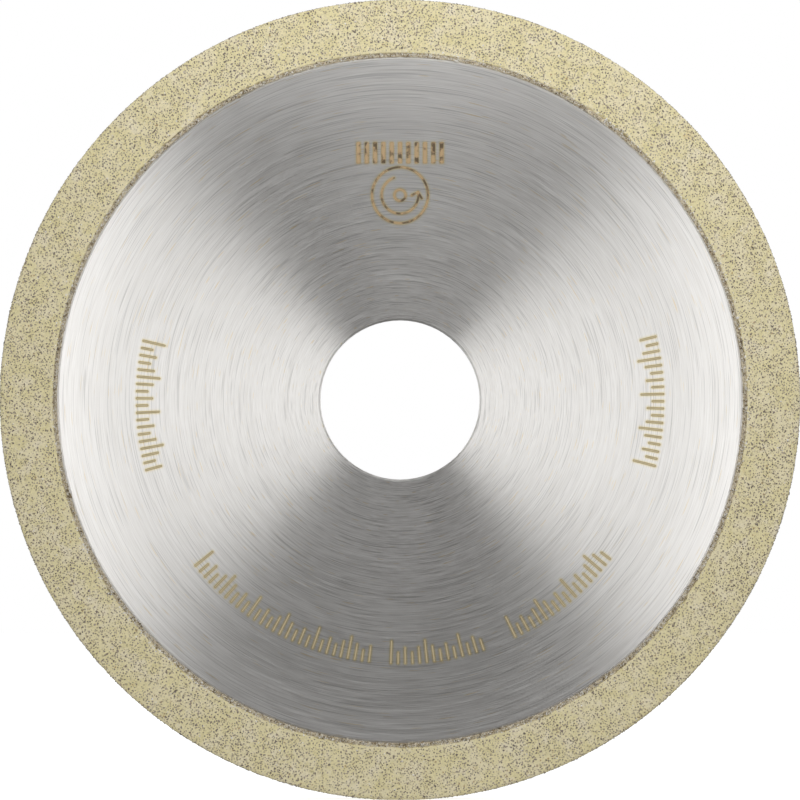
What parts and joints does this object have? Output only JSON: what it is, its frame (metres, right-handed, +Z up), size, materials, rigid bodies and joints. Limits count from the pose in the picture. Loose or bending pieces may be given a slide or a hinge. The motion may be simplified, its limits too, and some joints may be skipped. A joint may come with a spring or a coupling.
{
  "type": "superabrasive grinding wheel",
  "caption": "Flat grinding wheel with a steel core, a ground central bore and a grain-filled resin layer round its rim.",
  "frame": {"origin": "centre of the wheel, on its axis and midway between its two faces", "axes": "+Y along the wheel's axis towards the plain back face, so the marked front face looks towards -Y; +Z up, with the front face's upper mark at the top"},
  "size_m": [0.1, 0.01, 0.1],
  "materials": {
    "core_steel": "fine concentric turning marks",
    "adhesive": "rough, dark and gritty",
    "backing_resin": "plain matt resin",
    "abrasive_layer": "matt resin full of fine dark grain"
  },
  "bodies": {
    "root": {"core": "core_steel", "adhesive_line": "adhesive", "backing_ring": "backing_resin", "abrasive_rim": "abrasive_layer"}
  },
  "joints": []
}
